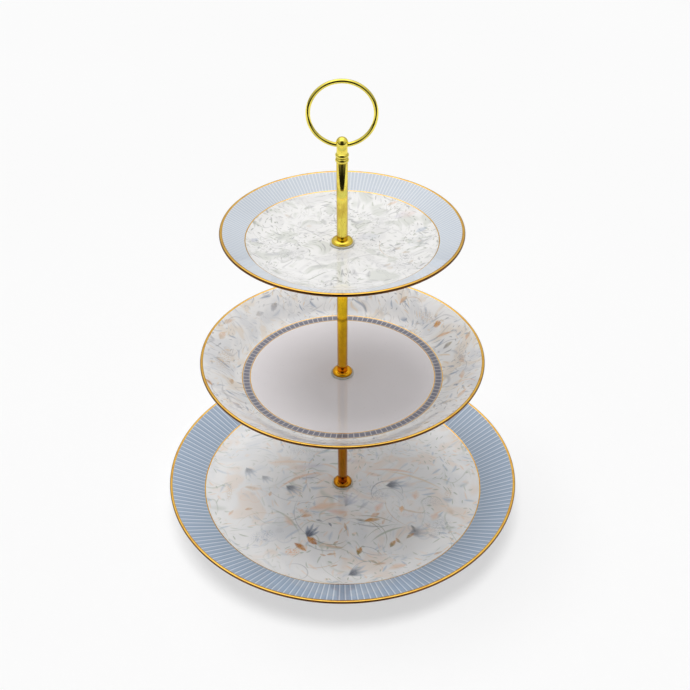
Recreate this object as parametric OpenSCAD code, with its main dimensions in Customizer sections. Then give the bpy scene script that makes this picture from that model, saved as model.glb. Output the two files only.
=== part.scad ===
// Three-tier cake stand: porcelain plates threaded on a brass column with a ring handle.
// The bottom plate's foot ring stands on z = 0, the column's axis is +Z, sizes in millimetres.

/* [Plates] */
// Outer diameter of the bottom plate
bottom_plate_d = 260; // [216:1:320]
// Outer diameter of the middle plate
middle_plate_d = 198; // [160:1:240]
// Outer diameter of the top plate
top_plate_d = 158; // [130:1:200]
// Width of the bottom plate's sloping rim band
bottom_rim_w = 25.5; // [18:0.5:32]
// Width of the middle plate's sloping rim band
middle_rim_w = 20.0; // [16:0.5:28]
// Width of the top plate's sloping rim band
top_rim_w = 16.2; // [13:0.2:20]
// Height of the rim band's inner edge above the bottom plate's well
bottom_verge_h = 4.0; // [3:0.1:5]
// Height of the rim band's inner edge above the middle plate's well
middle_verge_h = 4.6; // [3.6:0.1:5.8]
// Height of the rim band's inner edge above the top plate's well
top_verge_h = 4.9; // [4:0.1:6]
// Rise of the bottom plate's rim band from its inner edge to the lip
bottom_rim_rise = 10.4; // [8:0.1:13]
// Rise of the middle plate's rim band from its inner edge to the lip
middle_rim_rise = 12.2; // [10:0.1:14.6]
// Rise of the top plate's rim band from its inner edge to the lip
top_rim_rise = 6.3; // [5.2:0.1:7.8]
// Thickness of a plate's well
well_wall = 4.5; // [3.8:0.1:5.5]
// Thickness of a plate's rim at the rounded lip
lip_wall = 2.4; // [2.0:0.1:3.8]
// Height of the foot ring under a plate's well
foot_h = 3.5; // [3.1:0.1:4.5]
// Width of the foot ring's flat bottom face
foot_w = 3.0; // [2:0.1:4]
// Radius of the drilled hole in a plate's middle
plate_hole_r = 4.0; // [3.5:0.1:5]

/* [Column] */
// Outer diameter of the rods
rod_d = 7.2; // [6.8:0.1:9]
// Wall thickness of the rods
rod_wall = 0.6; // [0.5:0.1:1]
// Length of the lower and the middle rod
tier_rod_l = 94.4; // [70:0.2:120]
// Length of the top rod, under the finial
top_rod_l = 54.3; // [40:0.1:80]
// Length of the threaded inserts in the rods' ends
insert_l = 11.0; // [10.5:0.1:14]

/* [Threads] */
// Nominal diameter of the column's threads
thread_d = 4.0; // [3.4:0.1:4.4]
// Pitch of the threads
thread_pitch = 0.7; // [0.5:0.05:0.8]
// Depth of a male thread
thread_depth = 0.35; // [0.2:0.05:0.45]
// Length of thread engaged in each insert
thread_grip = 8.0; // [7:0.1:9]

/* [Collars and gaskets] */
// Radius of the brass collars above and below the plates
collar_r = 7.0; // [5.8:0.1:8.4]
// Height of a brass collar
collar_h = 2.6; // [2:0.1:3.2]
// Height of a collar's straight edge, next to the gasket
collar_edge_h = 0.7; // [0.4:0.1:1]
// Radius of the plastic gaskets
gasket_r = 8.0; // [6.7:0.1:9.6]
// Thickness of the plastic gaskets
gasket_h = 1.2; // [0.9:0.1:1.6]
// Length of the upper gasket's sleeve inside the plate's hole
sleeve_l = 3.4; // [2.5:0.1:3.8]
// Thickness of the gasket under the bottom plate
under_gasket_h = 0.8; // [0.6:0.1:1]
// Radius of the flat washer under the bottom plate
base_washer_r = 9.0; // [7.5:0.1:11]
// Thickness of the flat washer under the bottom plate
base_washer_h = 0.8; // [0.6:0.1:1]
// Radius of the base screw's head
screw_head_r = 4.5; // [3.7:0.1:5.4]
// Height of the base screw's head
screw_head_h = 1.1; // [0.9:0.1:1.3]

/* [Handle] */
// Radius of the ring handle, to the middle of its wire
ring_r = 20.55; // [17:0.05:25]
// Diameter of the ring handle's wire
ring_wire_d = 2.8; // [2.3:0.1:3.4]
// Height of the two beads of the finial, together
beads_h = 6.4; // [6:0.1:8]
// How far the finial's beads stand out beyond the rod
bead_overhang = 0.7; // [0.4:0.1:1.6]
// How far the finial's neck is set in from the rod's outside
neck_inset = 0.1; // [0.05:0.05:0.3]
// How far the finial's ball stands out beyond the rod
ball_overhang = 0.3; // [0.2:0.1:1.1]
// Height of the ring's lowest wire point above the finial's beads
ring_seat_h = 4.95; // [4.5:0.05:6.5]
// Height of the ball's middle above the ring's wire inside it
ball_lift = 1.55; // [1:0.05:2]

/* [Clearances] */
// Radial running clearance of a male thread in its insert
thread_gap = 0.05; // [0.02:0.01:0.08]
// Radial clearance of the studs in the gaskets and collars
stud_gap = 0.2; // [0.15:0.05:0.4]
// Radial clearance of the gasket's sleeve in the plate's hole
sleeve_gap = 0.2; // [0.1:0.05:0.4]
// Radial clearance of the inserts in the rods
insert_gap = 0.02; // [0.01:0.01:0.05]
// Radial clearance of the ring's wire in the finial
ring_gap = 0.03; // [0.01:0.01:0.08]
// Free depth beyond a stud's end in its blind hole
bore_spare = 0.5; // [0.3:0.1:0.8]

/* [Hidden] */
$fn = 96;

porcelain = [0.93, 0.93, 0.94];
brass = [0.85, 0.66, 0.24];
steel = [0.75, 0.74, 0.70];
plastic = [0.95, 0.95, 0.93];

// Steps along a plate's curved stretches and round a small bead
curve_steps = 10;
bead_steps = 12;
lip_r = lip_wall / 2;
foot_slope = 1.2;
foot_round = 0.8;
hole_chamfer = 0.4;
groove_depth = 0.1;
overcut = 0.5;

// One plate's shape: outer radius, rim width, verge height, rim rise
bottom_shape = [bottom_plate_d / 2, bottom_rim_w, bottom_verge_h, bottom_rim_rise];
middle_shape = [middle_plate_d / 2, middle_rim_w, middle_verge_h, middle_rim_rise];
top_shape = [top_plate_d / 2, top_rim_w, top_verge_h, top_rim_rise];

// The column's levels, from the table up
stud_r = thread_d / 2 - thread_gap;
bore_r = thread_d / 2;
clear_r = stud_r + stud_gap;
pad_h = gasket_h + collar_h;
joint_h = well_wall + 2 * pad_h;
bottom_seat = foot_h + well_wall;
lower_rod_z = bottom_seat + pad_h;
middle_seat = lower_rod_z + tier_rod_l + pad_h + well_wall;
middle_rod_z = middle_seat + pad_h;
top_seat = middle_rod_z + tier_rod_l + pad_h + well_wall;
top_rod_z = top_seat + pad_h;
finial_z = top_rod_z + top_rod_l;
insert_bore_l = thread_grip + bore_spare;
plug_grip = thread_grip - bore_spare;
screw_head_z = foot_h - under_gasket_h - base_washer_h - screw_head_h;
bead_r = rod_d / 2 + bead_overhang;
neck_r = rod_d / 2 - neck_inset;
ball_r = rod_d / 2 + ball_overhang;
ring_low_z = finial_z + beads_h + ring_seat_h;
ring_z = ring_low_z + ring_r;
ball_z = ring_low_z + ball_lift;

// Points of an arc from angle a to angle b round [x, y]
function arc(x, y, r, a, b, n) =
  [for (i = [0:n]) let (t = a + (b - a) * i / n) [x + r * cos(t), y + r * sin(t)]];

// Points of a shallow bulge of the given depth between heights low and high at radius x
function bulge(x, low, high, depth) =
  let (h = (high - low) / 2, r = (h * h + depth * depth) / (2 * depth), t = asin(h / r))
  arc(x + depth - r, (low + high) / 2, r, -t, t, bead_steps);

// A plate's rim slope, the radius of its flat well and the end of its upper face
function rim_slope(s) = atan((s[3] + lip_r * 0.93) / (s[1] - lip_r * 1.38));
function verge_r(s) = s[0] - s[1];
function well_r(s) = verge_r(s) - 2 * s[2] / tan(rim_slope(s));
function face_end(s) = s[0] - lip_r - lip_r * sin(rim_slope(s));

// Height of a plate's upper face above its well at radius r
function face_z(s, r) =
  r <= well_r(s) ? 0 :
  r <= verge_r(s) ? s[2] * pow((r - well_r(s)) / (verge_r(s) - well_r(s)), 2) :
  s[2] + (r - verge_r(s)) * tan(rim_slope(s));

// Upright thickness of a plate at radius r
function wall_z(s, r) =
  let (t = min(1, max(0, (r - well_r(s)) / (face_end(s) - well_r(s)))))
  (well_wall + (lip_wall - well_wall) * t) / cos(rim_slope(s) * min(1, t * 3));

module plate(s) {
  slope = rim_slope(s);
  step = (verge_r(s) - well_r(s)) / curve_steps;
  lip_x = face_end(s) + lip_r * sin(slope);
  lip_z = face_z(s, face_end(s)) - lip_r * cos(slope);
  foot_out = well_r(s) - foot_slope;
  foot_in = foot_out - foot_w - 2 * foot_slope;
  under_in = lip_x + lip_r * sin(slope);
  upper = [for (i = [0:curve_steps])
    let (r = well_r(s) + i * step) [r, face_z(s, r)]];
  lip = arc(lip_x, lip_z, lip_r, 90 + slope, -90 + slope, bead_steps);
  under = [for (i = [1:curve_steps])
    let (r = under_in + (well_r(s) - under_in) * i / curve_steps)
    [r, face_z(s, r) - wall_z(s, r)]];
  foot = [
    [foot_out - foot_slope * 0.4, -well_wall - foot_h + foot_round],
    [foot_out - foot_slope, -well_wall - foot_h],
    [foot_in + foot_slope, -well_wall - foot_h],
    [foot_in + foot_slope * 0.4, -well_wall - foot_h + foot_round],
    [foot_in, -well_wall],
  ];
  hole = [
    [plate_hole_r + hole_chamfer, -well_wall],
    [plate_hole_r, -well_wall + hole_chamfer],
    [plate_hole_r, -hole_chamfer],
    [plate_hole_r + hole_chamfer, 0],
  ];
  rotate_extrude() polygon(concat(hole, upper, lip, under, foot));
}

module bottom_plate() { color(porcelain) translate([0, 0, bottom_seat]) plate(bottom_shape); }
module middle_plate() { color(porcelain) translate([0, 0, middle_seat]) plate(middle_shape); }
module top_plate() { color(porcelain) translate([0, 0, top_seat]) plate(top_shape); }

// A rod, standing on its lower end
module rod(length) {
  difference() {
    cylinder(r = rod_d / 2, h = length);
    translate([0, 0, -overcut]) cylinder(r = rod_d / 2 - rod_wall, h = length + 2 * overcut);
  }
}

module lower_rod() { color(brass) translate([0, 0, lower_rod_z]) rod(tier_rod_l); }
module middle_rod() { color(brass) translate([0, 0, middle_rod_z]) rod(tier_rod_l); }
module top_rod() { color(brass) translate([0, 0, top_rod_z]) rod(top_rod_l); }

// A threaded insert with its mouth at z = 0, opening down
module insert() {
  color(brass) difference() {
    cylinder(r = rod_d / 2 - rod_wall - insert_gap, h = insert_l);
    translate([0, 0, -overcut]) cylinder(r = bore_r, h = insert_bore_l + overcut);
  }
}

module foot_insert(rod_z) { translate([0, 0, rod_z]) insert(); }
module head_insert(rod_end_z) { translate([0, 0, rod_end_z]) mirror([0, 0, 1]) insert(); }

module lower_rod_foot_insert() { foot_insert(lower_rod_z); }
module lower_rod_head_insert() { head_insert(lower_rod_z + tier_rod_l); }
module middle_rod_foot_insert() { foot_insert(middle_rod_z); }
module middle_rod_head_insert() { head_insert(middle_rod_z + tier_rod_l); }
module top_rod_foot_insert() { foot_insert(top_rod_z); }
module top_rod_head_insert() { head_insert(finial_z); }

// A threaded length from z = 0 up, with a tapered tip at each end
module thread(length) {
  turns = floor((length - 2 * thread_depth) / thread_pitch);
  start = (length - turns * thread_pitch) / 2;
  crest = thread_pitch / 8;
  rotate_extrude() polygon(concat(
    [[0, 0], [stud_r - thread_depth, 0]],
    [for (i = [0:turns - 1]) each [
      [stud_r - thread_depth, start + i * thread_pitch],
      [stud_r, start + (i + 0.5) * thread_pitch - crest],
      [stud_r, start + (i + 0.5) * thread_pitch + crest]]],
    [[stud_r - thread_depth, start + turns * thread_pitch],
     [stud_r - thread_depth, length], [0, length]]));
}

// A stud that joins two rods through a plate
module tier_stud(rod_z) {
  color(steel) translate([0, 0, rod_z - joint_h - thread_grip])
    thread(thread_grip + joint_h + plug_grip);
}

module middle_stud() { tier_stud(middle_rod_z); }
module top_stud() { tier_stud(top_rod_z); }
module handle_stud() {
  color(steel) translate([0, 0, finial_z - thread_grip]) thread(thread_grip + plug_grip);
}

module base_screw() {
  slot_w = 1.0;
  slot_depth = screw_head_h / 2;
  shank_z = screw_head_z + screw_head_h;
  shank_l = lower_rod_z - shank_z + thread_grip;
  color(steel) difference() {
    union() {
      translate([0, 0, screw_head_z]) cylinder(r = screw_head_r, h = screw_head_h);
      translate([0, 0, shank_z]) thread(shank_l);
    }
    translate([-screw_head_r - overcut, -slot_w / 2, screw_head_z - overcut])
      cube([2 * screw_head_r + 2 * overcut, slot_w, slot_depth + overcut]);
  }
}

module base_washer() {
  color(brass) translate([0, 0, foot_h - under_gasket_h - base_washer_h]) difference() {
    cylinder(r = base_washer_r, h = base_washer_h);
    translate([0, 0, -overcut]) cylinder(r = clear_r, h = base_washer_h + 2 * overcut);
  }
}

// A flat gasket from z = 0 up
module gasket(thickness) {
  difference() {
    cylinder(r = gasket_r, h = thickness);
    translate([0, 0, -overcut]) cylinder(r = clear_r, h = thickness + 2 * overcut);
  }
}

// A gasket on a plate's well, with a sleeve down into the plate's hole
module sleeved_gasket() {
  difference() {
    union() {
      cylinder(r = gasket_r, h = gasket_h);
      translate([0, 0, -sleeve_l]) cylinder(r = plate_hole_r - sleeve_gap, h = sleeve_l + gasket_h / 2);
    }
    translate([0, 0, -sleeve_l - overcut]) cylinder(r = clear_r, h = sleeve_l + gasket_h + 2 * overcut);
  }
}

module bottom_gasket_lower() {
  color(plastic) translate([0, 0, foot_h - under_gasket_h]) gasket(under_gasket_h);
}
module bottom_gasket_upper() { color(plastic) translate([0, 0, bottom_seat]) sleeved_gasket(); }
module middle_gasket_lower() {
  color(plastic) translate([0, 0, middle_seat - well_wall - gasket_h]) gasket(gasket_h);
}
module middle_gasket_upper() { color(plastic) translate([0, 0, middle_seat]) sleeved_gasket(); }
module top_gasket_lower() {
  color(plastic) translate([0, 0, top_seat - well_wall - gasket_h]) gasket(gasket_h);
}
module top_gasket_upper() { color(plastic) translate([0, 0, top_seat]) sleeved_gasket(); }

// A brass collar on z = 0, domed up to the rod
module collar() {
  shoulder_r = rod_d / 2 + 0.5;
  dome_h = collar_h - collar_edge_h;
  rotate_extrude() polygon(concat(
    [[clear_r, 0], [collar_r, 0], [collar_r, collar_edge_h]],
    [for (i = [1:bead_steps]) let (t = 90 * i / bead_steps)
      [shoulder_r + (collar_r - shoulder_r) * cos(t), collar_edge_h + dome_h * sin(t)]],
    [[clear_r, collar_h]]));
}

module collar_above(seat) { color(brass) translate([0, 0, seat + gasket_h]) collar(); }
module collar_below(seat) {
  color(brass) translate([0, 0, seat - well_wall - gasket_h]) mirror([0, 0, 1]) collar();
}

module bottom_collar() { collar_above(bottom_seat); }
module middle_collar_lower() { collar_below(middle_seat); }
module middle_collar_upper() { collar_above(middle_seat); }
module top_collar_lower() { collar_below(top_seat); }
module top_collar_upper() { collar_above(top_seat); }

// The ring's torus, upright across the column, with a wire of radius r
module ring_torus(r) {
  translate([0, 0, ring_z]) rotate([90, 0, 0]) rotate_extrude() translate([ring_r, 0]) circle(r = r);
}

module finial() {
  groove_r = neck_r - groove_depth;
  ball_start = -acos(neck_r / ball_r);
  profile = concat(
    [[0, finial_z], [groove_r, finial_z]],
    bulge(groove_r, finial_z, finial_z + beads_h / 2, bead_r - groove_r),
    bulge(groove_r, finial_z + beads_h / 2, finial_z + beads_h, bead_r - groove_r),
    [[neck_r, finial_z + beads_h]],
    arc(0, ball_z, ball_r, ball_start, 90, bead_steps));
  color(brass) difference() {
    rotate_extrude() polygon(profile);
    translate([0, 0, finial_z - overcut]) cylinder(r = bore_r, h = insert_bore_l + overcut);
    ring_torus(ring_wire_d / 2 + ring_gap);
  }
}

module ring_handle() { color(brass) ring_torus(ring_wire_d / 2); }

bottom_plate();
middle_plate();
top_plate();
lower_rod();
middle_rod();
top_rod();
lower_rod_foot_insert();
lower_rod_head_insert();
middle_rod_foot_insert();
middle_rod_head_insert();
top_rod_foot_insert();
top_rod_head_insert();
middle_stud();
top_stud();
handle_stud();
base_screw();
base_washer();
bottom_gasket_lower();
bottom_gasket_upper();
middle_gasket_lower();
middle_gasket_upper();
top_gasket_lower();
top_gasket_upper();
bottom_collar();
middle_collar_lower();
middle_collar_upper();
top_collar_lower();
top_collar_upper();
finial();
ring_handle();
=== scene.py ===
from math import acos, asin, atan, cos, degrees, pi, radians, sin, tan

import bpy
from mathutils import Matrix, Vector


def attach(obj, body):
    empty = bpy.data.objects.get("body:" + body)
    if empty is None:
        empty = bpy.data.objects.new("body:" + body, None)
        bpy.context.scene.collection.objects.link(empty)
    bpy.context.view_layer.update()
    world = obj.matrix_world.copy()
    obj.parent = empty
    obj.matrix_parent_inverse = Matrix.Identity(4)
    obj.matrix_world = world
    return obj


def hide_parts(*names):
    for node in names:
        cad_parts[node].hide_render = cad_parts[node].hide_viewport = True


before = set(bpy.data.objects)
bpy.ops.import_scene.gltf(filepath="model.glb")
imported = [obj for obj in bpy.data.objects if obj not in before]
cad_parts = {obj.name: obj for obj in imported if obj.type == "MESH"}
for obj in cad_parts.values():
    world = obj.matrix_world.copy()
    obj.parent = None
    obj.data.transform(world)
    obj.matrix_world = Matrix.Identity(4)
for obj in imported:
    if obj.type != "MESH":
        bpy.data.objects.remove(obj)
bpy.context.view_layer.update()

MM = 0.001

# How finely the round bodies are divided
PLATE_SIDES = 288
ROUND_SIDES = 96
FINIAL_SIDES = 128
WIRE_SIDES = 40
RING_STEPS = 160
SMOOTH_ANGLE = radians(32)

# Sizes of the stand in millimetres, as in the part
WELL_WALL = 4.5
LIP_WALL = 2.4
LIP_R = LIP_WALL / 2
LIP_RISE = LIP_R * 0.93
LIP_REACH = LIP_R * 1.38
FOOT_H = 3.5
FOOT_W = 3.0
FOOT_SLOPE = 1.2
FOOT_ROUND = 0.8
HOLE_R = 4.0
HOLE_CHAMFER = 0.4
ROD_R = 3.6
ROD_BORE = 3.0
BORE_EDGE = 0.08
CLEAR_R = 2.15
COLLAR_R = 7.0
COLLAR_H = 2.6
COLLAR_EDGE = 0.7
COLLAR_FOOT = 0.2
SHOULDER_R = ROD_R + 0.5
SOFT_EDGE = 0.25
CORNER = 0.3
GASKET_R = 8.0
GASKET_H = 1.2
UNDER_GASKET_H = 0.8
SLEEVE_L = 3.4
SLEEVE_R = 3.8
BORE_R = 2.0
BORE_L = 8.5
RING_R = 20.55
WIRE_R = 1.4
BEADS_H = 6.4
BEAD_R = 4.3
NECK_R = 3.5
BEAD_CORE_R = NECK_R - 0.1
BALL_R = 3.9
RING_SEAT = 4.95
BALL_LIFT = 1.55

BOTTOM_SEAT = 8.0
LOWER_ROD_Z = 11.8
TIER_ROD_L = 94.4
MIDDLE_SEAT = 114.5
MIDDLE_ROD_Z = 118.3
TOP_SEAT = 221.0
TOP_ROD_Z = 224.8
TOP_ROD_L = 54.3
FINIAL_Z = 279.1
RING_LOW_Z = FINIAL_Z + BEADS_H + RING_SEAT
RING_Z = RING_LOW_Z + RING_R
BALL_Z = RING_LOW_Z + BALL_LIFT


# ---------------------------------------------------------------- shaping

def deselect():
    bpy.ops.object.select_all(action="DESELECT")


def finish_mesh(piece):
    """Closes seams and open ends, turns the faces outwards and smooths the shading."""
    bpy.ops.mesh.select_all(action="SELECT")
    bpy.ops.mesh.remove_doubles(threshold=0.004 * MM)
    bpy.ops.mesh.select_all(action="DESELECT")
    bpy.ops.mesh.select_non_manifold()
    if piece.data.total_edge_sel:
        bpy.ops.mesh.edge_face_add()
    bpy.ops.mesh.select_all(action="SELECT")
    bpy.ops.mesh.normals_make_consistent(inside=False)
    bpy.ops.object.mode_set(mode="OBJECT")
    bpy.ops.object.shade_smooth_by_angle(angle=SMOOTH_ANGLE)


def turned(name, points, sides=ROUND_SIDES, closed=True):
    """A body of revolution: a circle drawn out ring by ring through the points (radius, height)."""
    deselect()
    radius, height = points[0]
    start = (0, 0, height * MM)
    bpy.ops.mesh.primitive_circle_add(vertices=sides, radius=radius * MM, location=start)
    piece = bpy.context.object
    piece.name = name
    bpy.ops.object.transform_apply(location=True, rotation=True, scale=True)
    bpy.ops.object.mode_set(mode="EDIT")
    bpy.ops.mesh.select_all(action="SELECT")
    path = points[1:] + points[:1] if closed else points[1:]
    for next_radius, next_height in path:
        lift = (0, 0, (next_height - height) * MM)
        bpy.ops.mesh.extrude_region_move(TRANSFORM_OT_translate={"value": lift})
        share = next_radius / radius
        if abs(share - 1) > 1e-6:
            bpy.ops.transform.resize(value=(share, share, 1), center_override=(0, 0, 0))
        radius = next_radius
        height = next_height
    finish_mesh(piece)
    return piece


def arc(x, y, r, start, end, steps):
    """Points of an arc round (x, y), angles in degrees."""
    turns = [radians(start + (end - start) * i / steps) for i in range(steps + 1)]
    return [(x + r * cos(t), y + r * sin(t)) for t in turns]


def raised(points, height):
    return [(r, z + height) for r, z in points]


# ---------------------------------------------------------------- plates

class Dish:
    """One plate's shape: outer radius, rim width, verge height, rim rise and the well's height."""

    def __init__(self, radius, rim_w, verge_h, rise, seat):
        self.radius = radius
        self.verge_h = verge_h
        self.seat = seat
        self.slope = atan((rise + LIP_RISE) / (rim_w - LIP_REACH))
        self.verge_r = radius - rim_w
        self.well_r = self.verge_r - 2 * verge_h / tan(self.slope)
        self.face_end = radius - LIP_R - LIP_R * sin(self.slope)

    def face(self, r):
        """Height of the upper face above the well at radius r."""
        if r <= self.well_r:
            return 0.0
        if r <= self.verge_r:
            return self.verge_h * ((r - self.well_r) / (self.verge_r - self.well_r)) ** 2
        return self.verge_h + (r - self.verge_r) * tan(self.slope)

    def wall(self, r):
        """Upright thickness of the plate at radius r."""
        share = min(1.0, max(0.0, (r - self.well_r) / (self.face_end - self.well_r)))
        thick = WELL_WALL + (LIP_WALL - WELL_WALL) * share
        return thick / cos(self.slope * min(1.0, share * 3))

    def outline(self):
        """The plate's section: hole, well, rim, lip, underside and foot ring."""
        slope = degrees(self.slope)
        lip_x = self.face_end + LIP_R * sin(self.slope)
        lip_z = self.face(self.face_end) - LIP_R * cos(self.slope)
        under_in = lip_x + LIP_R * sin(self.slope)
        foot_out = self.well_r - FOOT_SLOPE
        foot_in = foot_out - FOOT_W - 2 * FOOT_SLOPE
        low = -WELL_WALL - FOOT_H
        steps = 12
        spread = self.verge_r - self.well_r
        upper = [self.well_r + spread * i / steps for i in range(steps + 1)]
        rim_steps = 6
        rim = self.face_end - self.verge_r
        upper += [self.verge_r + rim * i / rim_steps for i in range(1, rim_steps)]
        under = [under_in + (self.well_r - under_in) * i / steps for i in range(1, steps + 1)]
        hole = [
            (HOLE_R + HOLE_CHAMFER, -WELL_WALL),
            (HOLE_R, -WELL_WALL + HOLE_CHAMFER),
            (HOLE_R, -HOLE_CHAMFER),
            (HOLE_R + HOLE_CHAMFER, 0),
        ]
        middle = [(self.well_r * share, 0) for share in (0.25, 0.5, 0.75, 0.95)]
        corner = ((0.4, 1.0), (0.75, CORNER), (1.0, 0.0))
        foot = [(foot_out - FOOT_SLOPE * x, low + FOOT_ROUND * z) for x, z in corner]
        foot += [(foot_in + FOOT_SLOPE * x, low + FOOT_ROUND * z) for x, z in reversed(corner)]
        foot.append((foot_in, -WELL_WALL))
        points = hole + middle + [(r, self.face(r)) for r in upper]
        points += arc(lip_x, lip_z, LIP_R, 90 + slope, slope - 90, 14)
        points += [(r, self.face(r) - self.wall(r)) for r in under]
        points += foot
        return raised(points, self.seat)


DISHES = {
    "bottom": Dish(130.0, 25.5, 4.0, 10.4, BOTTOM_SEAT),
    "middle": Dish(99.0, 20.0, 4.6, 12.2, MIDDLE_SEAT),
    "top": Dish(79.0, 16.2, 4.9, 6.3, TOP_SEAT),
}


def make_dish(tier, printed, plain):
    """A porcelain plate with its printed upper face and its plain underside."""
    piece = turned(tier + "_dish", DISHES[tier].outline(), PLATE_SIDES)
    piece.data.materials.append(printed)
    piece.data.materials.append(plain)
    for face in piece.data.polygons:
        face.material_index = 0 if face.normal.z > 0.05 else 1
    return piece


# ---------------------------------------------------------------- column

def rod_outline(foot, length):
    """A tube with its edges broken inside and out."""
    top = foot + length
    corner = SOFT_EDGE * CORNER
    return [
        (ROD_R, foot + SOFT_EDGE), (ROD_R, top - SOFT_EDGE),
        (ROD_R - corner, top - corner), (ROD_R - SOFT_EDGE, top),
        (ROD_BORE + BORE_EDGE, top), (ROD_BORE, top - BORE_EDGE),
        (ROD_BORE, foot + BORE_EDGE), (ROD_BORE + BORE_EDGE, foot),
        (ROD_R - SOFT_EDGE, foot), (ROD_R - corner, foot + corner),
    ]


def collar_outline():
    """A collar on its flat face, domed up to the rod, with its edges broken."""
    dome_w = COLLAR_R - SHOULDER_R
    dome_h = COLLAR_H - COLLAR_EDGE
    corner = COLLAR_FOOT * CORNER
    points = [
        (CLEAR_R, 0.0), (COLLAR_R - COLLAR_FOOT, 0.0), (COLLAR_R - corner, corner),
        (COLLAR_R, COLLAR_FOOT),
    ]
    points += [(SHOULDER_R + dome_w * x, COLLAR_EDGE + dome_h * z) for x, z in arc(0, 0, 1, 0, 90, 14)]
    points.append((CLEAR_R, COLLAR_H))
    return points


def gasket_outline(thick, sleeve=0.0):
    """A flat ring with soft edges, and a sleeve down into the plate's hole where it has one."""
    corner = SOFT_EDGE * CORNER
    upper = [
        (GASKET_R, SOFT_EDGE), (GASKET_R, thick - SOFT_EDGE),
        (GASKET_R - corner, thick - corner), (GASKET_R - SOFT_EDGE, thick),
        (CLEAR_R, thick),
    ]
    lower = [(GASKET_R - SOFT_EDGE, 0.0), (GASKET_R - corner, corner)]
    if sleeve:
        return [(CLEAR_R, -sleeve), (SLEEVE_R, -sleeve), (SLEEVE_R, 0.0)] + lower + upper
    return [(CLEAR_R, 0.0)] + lower + upper


def flipped(points):
    """The same outline hanging down from z = 0."""
    return [(r, -z) for r, z in reversed(points)]


def bead(low, high):
    """A rounded bead of the finial between two heights."""
    half = (high - low) / 2
    depth = BEAD_R - BEAD_CORE_R
    r = (half * half + depth * depth) / (2 * depth)
    t = degrees(asin(half / r))
    return arc(BEAD_R - r, (low + high) / 2, r, -t, t, 12)


def make_finial():
    """The finial: two beads, a neck and a ball that the ring passes through."""
    start = -degrees(acos(NECK_R / BALL_R))
    middle = FINIAL_Z + BEADS_H / 2
    top = FINIAL_Z + BEADS_H
    points = [(BORE_R, FINIAL_Z + BORE_L), (BORE_R, FINIAL_Z), (BEAD_CORE_R, FINIAL_Z)]
    points += bead(FINIAL_Z, middle)[1:]
    points += bead(middle, top)[1:]
    points.append((NECK_R, top + 0.05))
    points += arc(0, BALL_Z, BALL_R, start, 90, 16)[:-1]
    # The pole is drawn in to a point that finish_mesh merges
    points.append((1e-4, BALL_Z + BALL_R))
    return turned("finial_ball", points, FINIAL_SIDES, closed=False)


def make_ring():
    """The ring handle: a round wire spun once round the ring's middle."""
    deselect()
    side = (RING_R * MM, 0, RING_Z * MM)
    bpy.ops.mesh.primitive_circle_add(vertices=WIRE_SIDES, radius=WIRE_R * MM, location=side)
    piece = bpy.context.object
    piece.name = "ring"
    bpy.ops.object.transform_apply(location=True, rotation=True, scale=True)
    bpy.ops.object.mode_set(mode="EDIT")
    bpy.ops.mesh.select_all(action="SELECT")
    middle = (0, 0, RING_Z * MM)
    bpy.ops.mesh.spin(steps=RING_STEPS, angle=2 * pi, center=middle, axis=(0, 1, 0))
    finish_mesh(piece)
    return piece


# ---------------------------------------------------------------- shader helpers

def ink(red, green, blue):
    """A colour of a paint chart, 0 to 255, as the shader's own numbers."""
    parts = [c / 255 for c in (red, green, blue)]
    linear = [c / 12.92 if c <= 0.04045 else ((c + 0.055) / 1.055) ** 2.4 for c in parts]
    return (*linear, 1.0)


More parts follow.
